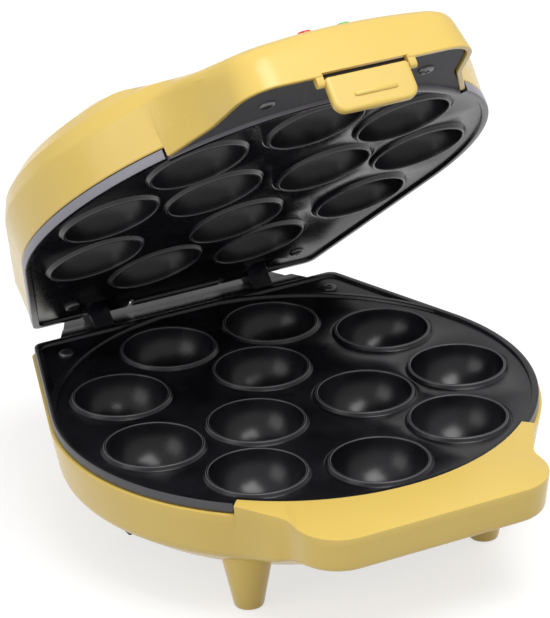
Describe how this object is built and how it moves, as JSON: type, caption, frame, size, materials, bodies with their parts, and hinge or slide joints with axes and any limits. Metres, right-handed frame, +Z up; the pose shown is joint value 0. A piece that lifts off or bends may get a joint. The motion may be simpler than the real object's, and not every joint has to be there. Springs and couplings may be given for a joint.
{
  "type": "cake pop maker",
  "caption": "Countertop cooker with a hinged domed lid, front grips and latch, and two facing baking plates with rings of half-round wells.",
  "frame": {"origin": "on the table plane, directly below the centre of the well pattern", "axes": "+Z up, +Y to the hinge at the rear, +X to the right seen from the front grip"},
  "size_m": [0.216, 0.2671, 0.2461],
  "materials": {
    "yellow_shell": "glossy pale yellow moulded plastic",
    "coated_plate": "cast aluminium with dark non-stick coating",
    "black_plastic": "satin black moulded plastic",
    "dark_screw": "blackened steel",
    "zinc_screw": "zinc-plated steel",
    "heater_steel": "oxidised stainless tube",
    "pressed_steel": "bare pressed sheet",
    "pin_steel": "ground steel",
    "ceramic": "white unglazed ceramic",
    "rubber": "matt moulded rubber",
    "red_lens": "clear red moulded plastic",
    "green_lens": "clear green moulded plastic"
  },
  "bodies": {
    "base": {"lower_housing": "yellow_shell", "lower_plate": "coated_plate", "lower_plate_screws": "dark_screw", "lower_heater": "heater_steel", "lower_heater_beads": "ceramic", "lower_heater_straps": "pressed_steel", "lower_inner_screws": "zinc_screw", "lower_heat_shield": "pressed_steel", "thermostat": "black_plastic", "thermal_fuse": "ceramic", "fuse_clamp": "pressed_steel", "terminal_block": "black_plastic", "cord_grommet": "rubber", "cord_wrap_cleat_left": "black_plastic", "cord_wrap_cleat_right": "black_plastic", "cleat_screws": "zinc_screw", "foot_pads": "rubber", "hinge_pin_left": "pin_steel", "hinge_pin_right": "pin_steel", "hinge_pin_clips": "pin_steel"},
    "lid": {"upper_housing": "yellow_shell", "upper_plate": "coated_plate", "upper_plate_screws": "dark_screw", "upper_heater": "heater_steel", "upper_heater_beads": "ceramic", "upper_heater_straps": "pressed_steel", "upper_inner_screws": "zinc_screw", "upper_heat_shield": "pressed_steel", "handle_panel": "black_plastic", "panel_screws": "dark_screw", "lamp_holder": "black_plastic", "power_lamp_lens": "red_lens", "ready_lamp_lens": "green_lens", "latch_pin": "pin_steel"},
    "latch": {"latch": "yellow_shell"}
  },
  "joints": [
    {"name": "lid_hinge", "type": "hinge", "parent": "base", "child": "lid", "pos_m": [0, 0.1202, 0.06496], "axis": [-1, 0, 0], "range_deg": [-42.23, 58]},
    {"name": "latch_pivot", "type": "hinge", "parent": "lid", "child": "latch", "pos_m": [0, -0.0724, 0.23039], "axis": [-1, 0, 0], "range_deg": [-11, 70]}
  ]
}
